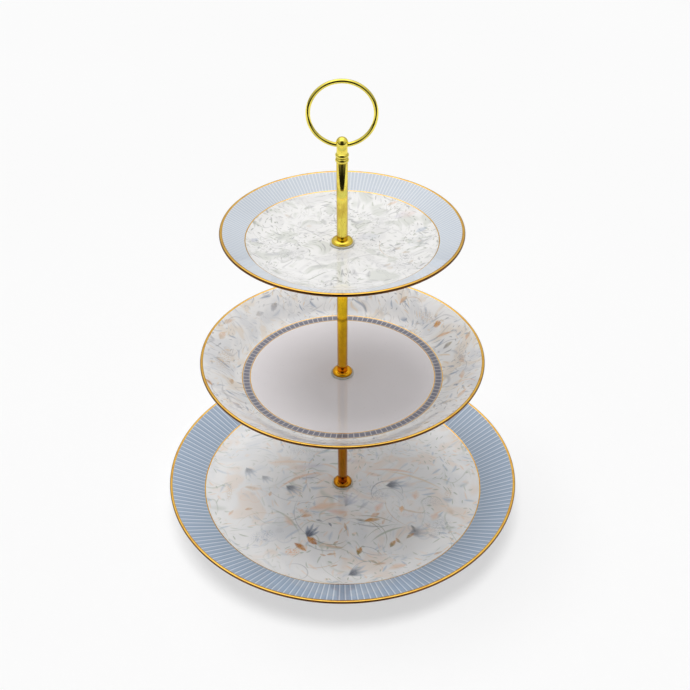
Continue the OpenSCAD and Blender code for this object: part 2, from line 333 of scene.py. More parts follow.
class Bench:
    """Adds nodes to one node tree and wires them up."""

    def __init__(self, tree):
        self.tree = tree

    def feed(self, value, socket):
        if isinstance(value, bpy.types.NodeSocket):
            self.tree.links.new(value, socket)
        elif value is not None:
            socket.default_value = value

    def node(self, kind, values=(), **settings):
        made = self.tree.nodes.new(kind)
        for name, value in settings.items():
            setattr(made, name, value)
        for name, value in dict(values).items():
            self.feed(value, made.inputs[name])
        return made

    def math(self, operation, a, b=None, c=None):
        made = self.node("ShaderNodeMath", operation=operation)
        for value, socket in zip((a, b, c), made.inputs):
            self.feed(value, socket)
        return made.outputs[0]

    def vector(self, operation, a, b=None, scale=None, out=0):
        made = self.node("ShaderNodeVectorMath", operation=operation)
        self.feed(a, made.inputs[0])
        self.feed(b, made.inputs[1])
        self.feed(scale, made.inputs[3])
        return made.outputs[out]

    def split(self, value):
        return self.node("ShaderNodeSeparateXYZ", {0: value}).outputs

    def smooth(self, value, low, high, to_low=0.0, to_high=1.0):
        """A soft step from to_low to to_high as the value goes from low to high."""
        made = self.node("ShaderNodeMapRange", interpolation_type="SMOOTHSTEP", clamp=False)
        for number, socket in zip((value, low, high, to_low, to_high), made.inputs):
            self.feed(number, socket)
        return made.outputs[0]

    def mix(self, amount, a, b, blend="MIX"):
        """A colour between a and b."""
        made = self.node("ShaderNodeMix", data_type="RGBA", blend_type=blend)
        self.feed(amount, made.inputs[0])
        self.feed(a, made.inputs[6])
        self.feed(b, made.inputs[7])
        return made.outputs[2]

    def between(self, amount, a, b):
        """A number between a and b."""
        made = self.node("ShaderNodeMix", data_type="FLOAT")
        self.feed(amount, made.inputs[0])
        self.feed(a, made.inputs[2])
        self.feed(b, made.inputs[3])
        return made.outputs[0]

    def grey(self, tone):
        """A neutral colour of that tone."""
        return self.node("ShaderNodeCombineColor", {0: tone, 1: tone, 2: tone}).outputs[0]

    def noise(self, place, scale, detail=2.0, flat=True, out=0):
        made = self.node("ShaderNodeTexNoise", {"Vector": place, "Scale": scale, "Detail": detail})
        made.noise_dimensions = "2D" if flat else "3D"
        return made.outputs[out]

    def cells(self, place, scale):
        made = self.node("ShaderNodeTexVoronoi", {"Vector": place, "Scale": scale})
        made.voronoi_dimensions = "2D"
        return made.outputs

    def ramp(self, value, stops):
        made = self.node("ShaderNodeValToRGB", {0: value})
        elements = made.color_ramp.elements
        while len(elements) < len(stops):
            elements.new(0.5)
        for element, (at, colour) in zip(elements, stops):
            element.position = at
            element.color = colour
        return made.outputs[0]

    def use(self, group, **values):
        """Places a node group with its own values; an input's name is given in lower case."""
        made = self.node("ShaderNodeGroup", node_tree=group)
        for name, value in values.items():
            self.feed(value, made.inputs[name.replace("_", " ").capitalize()])
        return made.outputs


SOCKETS = {"v": "NodeSocketVector", "f": "NodeSocketFloat", "c": "NodeSocketColor"}


def new_group(name, inputs, outputs):
    """A shader node group with named sockets. Returns its bench, its inputs and its output node."""
    tree = bpy.data.node_groups.new(name, "ShaderNodeTree")
    for title, kind in inputs.items():
        tree.interface.new_socket(title, in_out="INPUT", socket_type=SOCKETS[kind])
    for title, kind in outputs.items():
        tree.interface.new_socket(title, in_out="OUTPUT", socket_type=SOCKETS[kind])
    bench = Bench(tree)
    given = bench.node("NodeGroupInput").outputs
    result = bench.node("NodeGroupOutput").inputs
    return bench, given, result


def group_plate_place():
    """Flat place in millimetres, distance from the middle, and share of a turn."""
    b, given, result = new_group("Plate place", {"Place": "v"}, {"Flat": "v", "Radius": "f", "Turn": "f"})
    flat = b.vector("MULTIPLY", given["Place"], (1000, 1000, 0))
    x, y, _ = b.split(flat)
    b.feed(flat, result["Flat"])
    b.feed(b.vector("LENGTH", flat, out=1), result["Radius"])
    b.feed(b.math("DIVIDE", b.math("ARCTAN2", y, x), 2 * pi), result["Turn"])
    return b.tree


def group_ring_line():
    """A painted ring between two radii, with soft edges that wander a little."""
    inputs = {"Radius": "f", "Flat": "v", "From": "f", "To": "f", "Edge": "f", "Wander": "f"}
    b, given, result = new_group("Ring line", inputs, {"Mask": "f"})
    wobble = b.math("SUBTRACT", b.noise(given["Flat"], 0.11, 1.0), 0.5)
    radius = b.math("MULTIPLY_ADD", wobble, given["Wander"], given["Radius"])
    start = b.math("DIVIDE", b.math("SUBTRACT", radius, given["From"]), given["Edge"])
    end = b.math("DIVIDE", b.math("SUBTRACT", given["To"], radius), given["Edge"])
    inside = b.math("MINIMUM", start, end)
    b.feed(b.smooth(inside, -0.5, 0.5), result["Mask"])
    return b.tree


def group_stripes():
    """Fine bars across a rim, with light gaps and a darker edge on each bar."""
    inputs = {"Turn": "f", "Flat": "v", "Count": "f", "Gap": "f", "Light": "c", "Bar": "c", "Dark": "c"}
    b, given, result = new_group("Rim stripes", inputs, {"Color": "c"})
    phase = b.math("FRACT", b.math("MULTIPLY", given["Turn"], given["Count"]))
    away = b.math("MULTIPLY", b.math("ABSOLUTE", b.math("SUBTRACT", phase, 0.5)), 2)
    bar = b.math("SUBTRACT", 1, given["Gap"])
    body = b.smooth(b.math("SUBTRACT", bar, away), -0.1, 0.1)
    edge = b.smooth(phase, 0.62, 0.86)
    tone = b.noise(given["Flat"], 0.05, 2.0)
    dark = b.math("MULTIPLY", edge, b.smooth(tone, 0.3, 0.7, 0.6, 1.0))
    b.feed(b.mix(body, given["Light"], b.mix(dark, given["Bar"], given["Dark"])), result["Color"])
    return b.tree


def group_rope():
    """A twisted rope border: slanted dashes on a lighter cord."""
    inputs = {"Radius": "f", "Turn": "f", "Count": "f", "Middle": "f", "Half": "f"}
    inputs.update({"Light": "c", "Dark": "c"})
    b, given, result = new_group("Rope border", inputs, {"Color": "c"})
    across = b.math("DIVIDE", b.math("SUBTRACT", given["Radius"], given["Middle"]), given["Half"])
    slant = b.math("MULTIPLY", across, 0.04)
    phase = b.math("FRACT", b.math("MULTIPLY_ADD", given["Turn"], given["Count"], slant))
    away = b.math("ABSOLUTE", b.math("SUBTRACT", phase, 0.5))
    dash = b.smooth(away, 0.38, 0.47, 1.0, 0.0)
    core = b.smooth(b.math("ABSOLUTE", across), 0.6, 0.95, 1.0, 0.4)
    amount = b.math("MULTIPLY", dash, core)
    b.feed(b.mix(amount, given["Light"], given["Dark"]), result["Color"])
    return b.tree


# What every mark of the brush takes and gives on, and how far it moves the place, in millimetres
BRUSH = {"Flat": "v", "Color": "c", "At": "v", "Turn": "v", "Size": "v"}
PAINTED = {"Color": "c", "Flat": "v"}
SLIP = (0.02, 0.01, 0)


def lay(b, given, result, mask, colour, under=None):
    """Lays a mark over what is there and hands its place on, moved a hair under the mark.

    The next mark needs that place, so the marks are worked out one after another and not all
    at once, which would take more room than the renderer's shader has.
    """
    b.feed(b.mix(mask, under or given["Color"], colour), result["Color"])
    slip = b.vector("MULTIPLY_ADD", mask, SLIP)
    b.feed(given["Flat"], slip.node.inputs[2])
    b.feed(slip, result["Flat"])


def local_place(b, given):
    """The place as the mark sees it: from its own middle, along its own turn, in its own size."""
    made = b.node("ShaderNodeMapping", vector_type="TEXTURE")
    b.feed(given["Flat"], made.inputs[0])
    b.feed(given["At"], made.inputs[1])
    b.feed(given["Turn"], made.inputs[2])
    b.feed(given["Size"], made.inputs[3])
    return made.outputs[0]


def group_petal():
    """A leaf or petal: pointed ends, a bent middle line, one tint at the base and one at the tip."""
    inputs = {**BRUSH, "Bend": "f", "Soft": "f", "Base": "c", "Tip": "c", "Strength": "f"}
    inputs.update({"Gold": "f", "Gilt": "f"})
    b, given, result = new_group("Petal", inputs, {**PAINTED, "Gold": "f"})
    place = local_place(b, given)
    along, across, _ = b.split(place)
    square = b.math("MULTIPLY", along, along)
    curved = b.math("MULTIPLY_ADD", square, given["Bend"], across)
    room = b.math("SUBTRACT", b.math("SUBTRACT", 1, square), b.math("ABSOLUTE", curved))
    streaks = b.noise(b.vector("MULTIPLY", place, (0.9, 3.2, 0)), 1.6, 1.0)
    shape = b.math("MULTIPLY", b.smooth(room, 0.0, given["Soft"]), b.smooth(streaks, 0.34, 0.6, 0.6, 1.0))
    mask = b.math("MULTIPLY", shape, given["Strength"])
    colour = b.mix(b.smooth(along, -0.7, 0.7), given["Base"], given["Tip"])
    lay(b, given, result, mask, colour)
    b.feed(b.math("MAXIMUM", given["Gold"], b.math("MULTIPLY", mask, given["Gilt"])), result["Gold"])
    return b.tree


def group_stem():
    """A brush stroke along an arc or a curl, thin at both ends. Size holds the scale of the arc."""
    inputs = {**BRUSH, "Sweep": "f", "Wind": "f", "Width": "f", "Ink": "c", "Strength": "f"}
    b, given, result = new_group("Stem", inputs, PAINTED)
    place = local_place(b, given)
    x, y, _ = b.split(place)
    angle = b.math("ARCTAN2", y, x)
    radius = b.vector("LENGTH", place, out=1)
    curl = b.math("MULTIPLY_ADD", angle, given["Wind"], 1)
    off = b.math("ABSOLUTE", b.math("SUBTRACT", radius, curl))
    share = b.math("DIVIDE", angle, given["Sweep"])
    taper = b.math("SUBTRACT", 1, b.math("MULTIPLY", share, share))
    room = b.math("SUBTRACT", b.math("MULTIPLY", taper, given["Width"]), off)
    shape = b.smooth(room, 0.0, b.math("MULTIPLY", given["Width"], 0.8))
    lay(b, given, result, b.math("MULTIPLY", shape, given["Strength"]), given["Ink"])
    return b.tree


def group_stipple():
    """A soft patch of small dots, as on a seed head."""
    inputs = {**BRUSH, "Grain": "f", "Ink": "c", "Strength": "f"}
    b, given, result = new_group("Stipple", inputs, PAINTED)
    reach = b.vector("LENGTH", local_place(b, given), out=1)
    patch = b.smooth(reach, 0.35, 1.0, 1.0, 0.0)
    dots = b.smooth(b.cells(given["Flat"], given["Grain"])["Distance"], 0.22, 0.42, 1.0, 0.15)
    mask = b.math("MULTIPLY", b.math("MULTIPLY", patch, dots), given["Strength"])
    lay(b, given, result, mask, given["Ink"])
    return b.tree


def group_blossom():
    """An open flower seen from the front: lobed outline, veined petals and a seeded heart."""
    inputs = {**BRUSH, "Lobes": "f", "Ink": "c", "Heart": "c", "Strength": "f"}
    b, given, result = new_group("Blossom", inputs, PAINTED)
    place = local_place(b, given)
    x, y, _ = b.split(place)
    angle = b.math("ARCTAN2", y, x)
    radius = b.vector("LENGTH", place, out=1)
    lobe = b.math("ABSOLUTE", b.math("COSINE", b.math("MULTIPLY", angle, given["Lobes"])))
    edge = b.math("MULTIPLY_ADD", lobe, 0.35, 0.62)
    inside = b.math("SUBTRACT", edge, radius)
    outline = b.smooth(b.math("ABSOLUTE", inside), 0.0, 0.1, 1.0, 0.0)
    fill = b.smooth(inside, 0.0, 0.5, 0.0, 0.4)
    veins = b.smooth(b.math("SINE", b.math("MULTIPLY", angle, 26)), 0.2, 1.0)
    veined = b.math("MULTIPLY", b.math("MULTIPLY", veins, b.smooth(inside, 0.0, 0.1)), 0.5)
    mask = b.math("MAXIMUM", b.math("MAXIMUM", outline, fill), veined)
    painted = b.mix(b.math("MULTIPLY", mask, given["Strength"]), given["Color"], given["Ink"])
    heart = b.math("MULTIPLY", b.smooth(radius, 0.1, 0.28, 1.0, 0.0), given["Strength"])
    lay(b, given, result, heart, given["Heart"], painted)
    return b.tree


def group_foliage():
    """Faint printed foliage: fine curling stems, soft petals and small turned leaves."""
    inputs = {"Flat": "v", "Color": "c", "Shift": "v", "Scale": "f", "Strength": "f"}
    inputs.update({"Stem": "c", "Cool": "c", "Warm": "c"})
    b, given, result = new_group("Pale foliage", inputs, {"Color": "c"})
    place = b.vector("SCALE", b.vector("ADD", given["Flat"], given["Shift"]), scale=given["Scale"])
    drift = b.vector("SUBTRACT", b.noise(place, 0.035, 1.0, out=1), (0.5, 0.5, 0.5))
    warped = b.vector("MULTIPLY_ADD", drift, (20, 20, 0))
    b.feed(place, warped.node.inputs[2])
    # Soft petals in two tints
    cloud = b.noise(warped, 0.075, 2.0)
    cool = b.math("MULTIPLY", b.smooth(cloud, 0.52, 0.66), given["Strength"])
    colour = b.mix(b.math("MULTIPLY", cool, 0.2), given["Color"], given["Cool"])
    warm = b.math("MULTIPLY", b.smooth(cloud, 0.47, 0.34), given["Strength"])
    colour = b.mix(b.math("MULTIPLY", warm, 0.5), colour, given["Warm"])
    # Turned leaves, one to a cell, thick in some patches and sparse in others
    patch = b.noise(b.vector("ADD", place, (300, 9, 0)), 0.035, 1.0)
    amount = b.math("MULTIPLY", b.smooth(patch, 0.36, 0.58, 0.45, 1.2), given["Strength"])
    leaves = ((0.14, 0.42, "Cool"), (0.2, 0.4, "Warm"), (0.3, 0.4, "Stem"))
    for grain, reach, tint in leaves:
        spot = b.vector("ADD", warped, (grain * 900, 7, 0))
        cell = b.cells(spot, grain)
        chance = b.split(cell["Color"])
        turn = b.math("MULTIPLY", chance[0], 2 * pi)
        away = b.vector("SUBTRACT", spot, cell["Position"])
        swung = b.node("ShaderNodeVectorRotate", {"Vector": away, "Angle": turn}, rotation_type="Z_AXIS")
        long, wide, _ = b.split(b.vector("SCALE", swung.outputs[0], scale=grain / reach))
        square = b.math("MULTIPLY", long, long)
        bent = b.math("MULTIPLY_ADD", square, 0.35, b.math("MULTIPLY", wide, 2.7))
        room = b.math("SUBTRACT", b.math("SUBTRACT", 1, square), b.math("ABSOLUTE", bent))
        leaf = b.smooth(room, 0.0, 0.8)
        shown = b.smooth(chance[1], 0.15, 0.6)
        vein = b.smooth(b.math("ABSOLUTE", bent), 0.0, 0.25, 1.0, 0.6)
        mask = b.math("MULTIPLY", b.math("MULTIPLY", leaf, shown), vein)
        colour = b.mix(b.math("MULTIPLY", mask, amount), colour, given[tint])
    # Curling stems: thin lines where a slow field passes its middle value, broken here and there
    for grain, thin, shift in ((0.05, 0.02, 40), (0.085, 0.028, 90)):
        field = b.noise(b.vector("ADD", warped, (shift, -shift, 0)), grain, 0.0)
        line = b.smooth(b.math("ABSOLUTE", b.math("SUBTRACT", field, 0.5)), 0.0, thin, 1.0, 0.0)
        broken = b.smooth(b.noise(b.vector("ADD", place, (shift, 11, 0)), 0.06, 1.0), 0.45, 0.6)
        mask = b.math("MULTIPLY", b.math("MULTIPLY", line, broken), amount)
        colour = b.mix(b.math("MULTIPLY", mask, 0.5), colour, given["Stem"])
    b.feed(colour, result["Color"])
    return b.tree


def group_glaze():
    """Glazed porcelain: slight clouding and pin specks in the body, and a gently uneven glaze."""
    inputs = {"Place": "v", "Color": "c", "Gloss": "f"}
    b, given, result = new_group("Glaze", inputs, {"Color": "c", "Roughness": "f", "Height": "f"})
    place = b.vector("SCALE", given["Place"], scale=1000)
    cloud = b.noise(place, 0.02, 3.0, flat=False)
    shade = b.smooth(cloud, 0.3, 0.7, 0.97, 1.0)
    colour = b.mix(1.0, given["Color"], b.grey(shade), "MULTIPLY")
    specks = b.smooth(b.noise(place, 1.1, 0.0, flat=False), 0.8, 0.86)
    colour = b.mix(b.math("MULTIPLY", specks, 0.25), colour, ink(120, 112, 100))
    b.feed(colour, result["Color"])
    smear = b.noise(place, 0.06, 3.0, flat=False)
    b.feed(b.math("MULTIPLY", b.smooth(smear, 0.2, 0.8, 0.8, 1.3), given["Gloss"]), result["Roughness"])
    wave = b.noise(place, 0.09, 1.0, flat=False)
    b.feed(b.math("MULTIPLY_ADD", specks, 0.1, wave), result["Height"])
    return b.tree


def group_polish():
    """Polished plated metal: faint turning lines, wiped smears and small dull marks."""
    inputs = {"Place": "v", "Color": "c", "Deep": "c", "Gloss": "f", "Lines": "f"}
    b, given, result = new_group("Polish", inputs, {"Color": "c", "Roughness": "f", "Height": "f"})
    place = b.vector("SCALE", given["Place"], scale=1000)
    fine = b.noise(b.vector("MULTIPLY", place, (0.25, 0.25, 7.0)), 1.0, 2.0, flat=False)
    smear = b.noise(place, 0.16, 3.0, flat=False)
    marks = b.smooth(b.noise(place, 0.9, 1.0, flat=False), 0.68, 0.76)
    deep = b.math("MULTIPLY_ADD", marks, 0.6, b.smooth(smear, 0.42, 0.72, 0.0, 0.35))
    b.feed(b.mix(deep, given["Color"], given["Deep"]), result["Color"])
    rough = b.math("MULTIPLY_ADD", b.smooth(smear, 0.3, 0.75), 0.05, given["Gloss"])
    rough = b.math("MULTIPLY_ADD", marks, 0.12, rough)
    b.feed(rough, result["Roughness"])
    b.feed(b.math("MULTIPLY", fine, given["Lines"]), result["Height"])
    return b.tree


PLATE_PLACE = group_plate_place()
RING_LINE = group_ring_line()
STRIPES = group_stripes()
ROPE = group_rope()
PETAL = group_petal()
STEM = group_stem()
STIPPLE = group_stipple()
BLOSSOM = group_blossom()
FOLIAGE = group_foliage()
GLAZE = group_glaze()
POLISH = group_polish()


def new_material(name):
    """An empty material with a Principled shader. Returns it, its bench, the shader and the place."""
    made = bpy.data.materials.new(name)
    made.use_nodes = True
    made.node_tree.nodes.clear()
    b = Bench(made.node_tree)
    shader = b.node("ShaderNodeBsdfPrincipled")
    output = b.node("ShaderNodeOutputMaterial")
    b.feed(shader.outputs[0], output.inputs["Surface"])
    place = b.node("ShaderNodeTexCoord").outputs["Object"]
    return made, b, shader, place


def raise_surface(b, shader, height, depth):
    """Lets the height show as fine relief, depth metres deep."""
    bump = b.node("ShaderNodeBump", {"Height": height, "Distance": depth})
    b.feed(bump.outputs[0], shader.inputs["Normal"])


# ---------------------------------------------------------------- print

DARK_SLATE = ink(52, 60, 84)
SLATE = ink(84, 92, 112)
BLUE = ink(150, 163, 184)
PALE_BLUE = ink(196, 206, 218)
LILAC = ink(198, 196, 212)
GREY = ink(168, 168, 172)
ASH = ink(150, 152, 146)
SAGE = ink(186, 192, 178)
PALE_TAN = ink(232, 212, 184)
PEACH = ink(238, 190, 152)
PALE_PEACH = ink(242, 220, 200)
PINK = ink(236, 200, 188)
TAN = ink(206, 178, 142)
GOLD_INK = ink(206, 134, 14)
DEEP_GOLD = ink(176, 96, 8)
OLIVE = ink(128, 116, 58)
WHITE = ink(246, 245, 244)
GILDING = ink(236, 188, 88)
# Dark bronze for the lip's outer edge and underside, a painted shade
LIP_SHADE_BRONZE = ink(96, 62, 30)


# A petal's ends and sides fade out, so it is drawn this much longer and wider than it looks
PETAL_LONGER = 1.15
PETAL_WIDER = 1.35
# The petals of a bud: how far each leans, in degrees, and its share of the bud's length
BUD_PETALS = ((-27, 0.75), (26, 0.8), (-9, 0.95), (10, 1.0))


class Painter:
    """Paints marks one over another on a plate's flat place, in millimetres and degrees."""

    def __init__(self, bench, flat, colour):
        self.b = bench
        self.flat = flat
        self.colour = colour
        self.gold = 0.0

    def brush(self, x, y, turn, length, width):
        return {
            "flat": self.flat,
            "color": self.colour,
            "at": (x, y, 0),
            "turn": (0, 0, radians(turn)),
            "size": (length / 2, width / 2, 1),
        }

    def take(self, made):
        self.colour = made["Color"]
        self.flat = made["Flat"]

    def petal(self, x, y, turn, length, width, base, tip=None, strength=0.8, bend=0.3, soft=0.7, gilt=0.0):
        brush = self.brush(x, y, turn, length * PETAL_LONGER, width * PETAL_WIDER)
        made = self.b.use(
            PETAL, **brush, gold=self.gold, base=base, tip=tip or base, strength=strength,
            bend=bend, soft=soft, gilt=gilt)
        self.take(made)
        self.gold = made["Gold"]

    def stem(self, x, y, turn, radius, sweep, tone, strength=0.6, width=0.5, wind=0.0):
        """An arc round (x, y): turn is the direction of its middle, sweep its half angle."""
        made = self.b.use(
            STEM, **self.brush(x, y, turn, 2 * radius, 2 * radius), sweep=radians(sweep), wind=wind,
            width=width / radius, ink=tone, strength=strength)
        self.take(made)

    def stipple(self, x, y, turn, length, width, tone, strength):
        made = self.b.use(
            STIPPLE, **self.brush(x, y, turn, length, width), grain=0.8, ink=tone, strength=strength)
        self.take(made)

    def blossom(self, x, y, turn, size, tone, heart, strength):
        made = self.b.use(
            BLOSSOM, **self.brush(x, y, turn, size, size * 0.9), lobes=2.5, ink=tone, heart=heart,
            strength=strength)
        self.take(made)

    def foliage(self, shift, scale, stem, cool, warm, strength):
        made = self.b.use(
            FOLIAGE, flat=self.flat, color=self.colour, shift=shift, scale=scale, stem=stem, cool=cool,
            warm=warm, strength=strength)
        self.colour = made["Color"]

    def bud(self, x, y, turn, size, base, tip, strength=0.85):
        """Slender petals fanned out from one point, dark where they meet."""
        for lean, share in BUD_PETALS:
            way = radians(turn + lean)
            reach = size * share / 2
            at_x = x + reach * cos(way)
            at_y = y + reach * sin(way)
            self.petal(at_x, at_y, turn + lean, 2 * reach, size * 0.2, base, tip, strength, 0.1, 0.8)

    def spray(self, x, y, turn, length, count, tone, strength):
        """A row of small leaves on both sides of a line."""
        way = radians(turn)
        for i in range(count):
            along = length * ((i + 0.5) / count - 0.5)
            side = 1 if i % 2 else -1
            off = side * 1.6
            at_x = x + cos(way) * along - sin(way) * off
            at_y = y + sin(way) * along + cos(way) * off
            self.petal(at_x, at_y, turn + side * 40, 5.0, 1.7, tone, None, strength)


def paint_bottom(p):
    """The bottom plate's well: buds, leaves and curls in slate, gold and peach over pale foliage."""
    p.foliage((13, 41, 0), 0.55, SAGE, PALE_BLUE, PALE_PEACH, 0.85)
    for row in (
        (-46, -50, 10, 30, BLUE, GREY, 0.18),
        (62, -45, 40, 30, BLUE, PEACH, 0.18),
        (20, -12, 0, 22, BLUE, PEACH, 0.15),
        (-68, -12, 0, 22, PEACH, GREY, 0.15),
    ):
        p.blossom(*row)
    # Long stems
    for row in (
        (-2, -30, 200, 34, 60, GREY, 0.5), (12, -58, 30, 20, 70, OLIVE, 0.45),
        (26, -52, 255, 22, 50, GREY, 0.5), (40, -70, 120, 26, 45, SAGE, 0.7),
        (-48, -18, 300, 24, 60, SAGE, 0.7), (-20, -60, 285, 26, 42, TAN, 0.5),
        (60, -20, 210, 28, 50, TAN, 0.5), (34, -18, 90, 12, 120, GREY, 0.5),
        (-10, -88, 60, 22, 50, SAGE, 0.6), (62, -66, 330, 16, 70, SAGE, 0.6),
        (18, -92, 100, 12, 90, GREY, 0.5), (-60, -50, 110, 18, 70, TAN, 0.35),
        (-34, 6, 250, 26, 55, GREY, 0.4), (2, 4, 180, 30, 40, TAN, 0.35),
    ):
        p.stem(*row)
    # Broad strokes of the soft brush and the fine lines swept round the large bud
    for row in (
        (-10, -38, 118, 50, 26, PEACH, 0.6, 2.2), (30, -60, 82, 75, 15, PEACH, 0.55, 2.0),
        (20, -70, 65, 84, 20, PALE_TAN, 0.7, 1.6), (-40, -60, 90, 84, 14, PALE_PEACH, 0.7, 2.4),
        (-8, -48, 262, 16, 62, OLIVE, 0.6, 0.7), (-10, -50, 250, 20, 50, GREY, 0.6, 0.7),
        (15, -75, 75, 40, 26, OLIVE, 0.5, 0.9), (25, -10, 262, 36, 30, GREY, 0.6, 1.1),
        (8, -60, 60, 22, 52, OLIVE, 0.45, 0.7), (52, -86, 120, 40, 26, SAGE, 0.8, 1.4),
        (-70, -64, 40, 40, 28, SAGE, 0.7, 1.4), (60, -2, 250, 30, 30, TAN, 0.5, 1.4),
    ):
        p.stem(*row)
    p.stem(35, -10, 100, 12, 150, SLATE, 0.45, 0.9, 0.07)
    p.stem(-33, -92, 20, 9, 140, GREY, 0.5, 0.7, 0.08)
    # Wavy peach petals with dark arches over them
    for row in (
        (-12, -25, 8, 28, 9, PEACH, PALE_PEACH, 1.0, 0.35),
        (-4, -31, -6, 18, 6, PINK, PEACH, 0.75, -0.3),
        (-28, -32, 150, 16, 6, PALE_PEACH, PEACH, 0.75, 0.4),
        (-40, -40, 120, 14, 6, PEACH, PALE_PEACH, 0.69, 0.3),
        (27, -26, 60, 12, 6, PEACH, PINK, 0.75, 0.2),
        (55, -13, 80, 11, 6, PEACH, PALE_PEACH, 0.75, 0.2),
        (40, 4, 20, 26, 5, PALE_PEACH, PEACH, 0.63, 0.3),
        (22, 10, 160, 18, 5, PEACH, PALE_PEACH, 0.5, 0.3),
        (68, -36, 60, 10, 7, PALE_PEACH, PEACH, 0.75, 0.1),
        (80, -30, 110, 10, 6, TAN, PALE_PEACH, 0.63, 0.2),
        (38, -85, 20, 15, 6, PALE_PEACH, PEACH, 0.81, 0.3),
        (-68, -6, 170, 14, 5, PALE_PEACH, TAN, 0.75, 0.3),
        (-83, -32, 60, 7, 3, PEACH, TAN, 0.75, 0.2),
        (-22, 8, 20, 24, 6, LILAC, PALE_PEACH, 0.63, 0.4),
        (-30, 18, 10, 34, 7, PALE_PEACH, LILAC, 0.63, 0.3),
        (10, 24, 170, 28, 6, PALE_PEACH, LILAC, 0.5, 0.3),
        (-12, -24, 16, 20, 4, PALE_PEACH, PEACH, 0.75, 0.5),
    ):
        p.petal(*row, soft=0.9)
    for row in (
        (-14, -30, 82, 15, 62, SLATE, 0.6), (-27, -32, 95, 11, 60, GREY, 0.6),
        (-25, -6, 80, 12, 55, SLATE, 0.45), (-40, -20, 70, 12, 50, GREY, 0.5),
        (-4, -52, 100, 15, 55, SLATE, 0.45), (16, -78, 60, 12, 60, SLATE, 0.4),
    ):
        p.stem(*row)
    # Dark touches and slate leaves
    for row in (
        (-17, -40, -20, 6, 2.0, SLATE, GREY, 0.75),
        (-9, -44, -60, 5, 2.0, SLATE, SLATE, 0.85),
        (50, -2, 12, 14, 6.0, BLUE, PALE_PEACH, 0.45),
        (14, -40, -15, 10, 1.6, SLATE, OLIVE, 0.8),
        (52, -48, -70, 8, 2.6, SLATE, OLIVE, 0.7),
        (22, -80, -30, 7, 2.2, TAN, OLIVE, 0.7),
        (16, -24, 50, 12, 3.4, SLATE, BLUE, 0.4),
        (66, -56, 150, 10, 3.0, BLUE, SLATE, 0.4),
    ):
        p.petal(*row)
    p.spray(-62, -62, 40, 26, 6, BLUE, 0.35)
    p.spray(76, -52, 100, 22, 5, BLUE, 0.35)
    for row in (
        (-58, -56, 20, 26, 16, BLUE, 0.35), (72, -46, 60, 28, 18, GREY, 0.4),
        (-36, -71, 0, 14, 9, PEACH, 1.0), (66, -20, 0, 24, 14, GREY, 0.35),
        (-86, -10, 90, 26, 7, TAN, 0.5), (28, -14, 0, 18, 12, GREY, 0.4),
        (80, -12, 80, 24, 8, TAN, 0.4), (-30, 36, 0, 40, 14, GREY, 0.3),
        (48, -34, 0, 14, 8, PINK, 0.4),
    ):
        p.stipple(*row)
    # The buds, and the gilt leaves over them
    for row in (
        (-26, -57, 62, 15, DARK_SLATE, BLUE, 1.0), (33, -3, 8, 17, DARK_SLATE, PALE_BLUE, 0.95),
        (-43, -3, -38, 15, DARK_SLATE, PALE_BLUE, 0.85), (-75, 17, -60, 14, SLATE, PALE_BLUE, 0.6),
        (4, -93, 28, 16, DARK_SLATE, PALE_BLUE, 0.85), (48, -53, 12, 18, SLATE, PALE_BLUE, 0.6),
        (2, -25, 60, 16, BLUE, LILAC, 0.6), (-62, 8, -50, 12, SLATE, PALE_BLUE, 0.5),
    ):
        p.bud(*row)
    p.petal(-22, -60, -48, 10, 4.6, GOLD_INK, DEEP_GOLD, 1.0, bend=0.0, soft=0.4, gilt=0.1)
    for row in (
        (-30, -66, -42, 12, 4.2, DEEP_GOLD, GOLD_INK, 1.0, 0.2),
        (22, -39, 8, 12, 3.8, GOLD_INK, TAN, 1.0, 0.2),
        (44, -28, 80, 7, 3.6, PEACH, GOLD_INK, 0.8, 0.1),
        (12, -70, 70, 8, 3.8, OLIVE, GOLD_INK, 1.0, 0.1),
        (36, -63, 60, 8, 3.4, OLIVE, GOLD_INK, 0.9, 0.2),
        (40, -60, 120, 6, 2.4, OLIVE, GOLD_INK, 0.7, 0.2),
        (49, -55, 40, 8, 2.8, OLIVE, GOLD_INK, 0.7, 0.3),
        (-27, -35, 10, 8, 3.2, GOLD_INK, PEACH, 0.7, 0.2),
        (-8, -73, 10, 7, 2.0, GOLD_INK, TAN, 0.7, 0.2),
        (-14, -74, 160, 5, 1.8, GOLD_INK, TAN, 0.6, 0.2),
        (-6, -66, 170, 14, 2.4, TAN, GOLD_INK, 0.55, 0.2),
        (-6, -84, 20, 6, 1.6, TAN, GOLD_INK, 0.6, 0.2),
        (68, -74, 20, 7, 2.4, GOLD_INK, TAN, 0.6, 0.1),
        (-70, -28, 10, 6, 2.6, GOLD_INK, TAN, 0.55, 0.2),
        (-55, -12, 80, 5, 2.6, GOLD_INK, TAN, 0.6, 0.2),
        (24, -34, 30, 8, 4.0, PEACH, GOLD_INK, 0.6, 0.2),
        (2, -46, 100, 8, 2.0, GOLD_INK, TAN, 0.6, 0.2),
        (30, -41, 70, 6, 2.0, GOLD_INK, TAN, 0.4, 0.5),
        (-5, -62, 40, 5, 2.0, OLIVE, GOLD_INK, 0.6, 0.2),
        (26, -82, 10, 10, 2.2, TAN, GOLD_INK, 0.5, 0.3),
    ):
        p.petal(*row, soft=0.6, gilt=0.15)


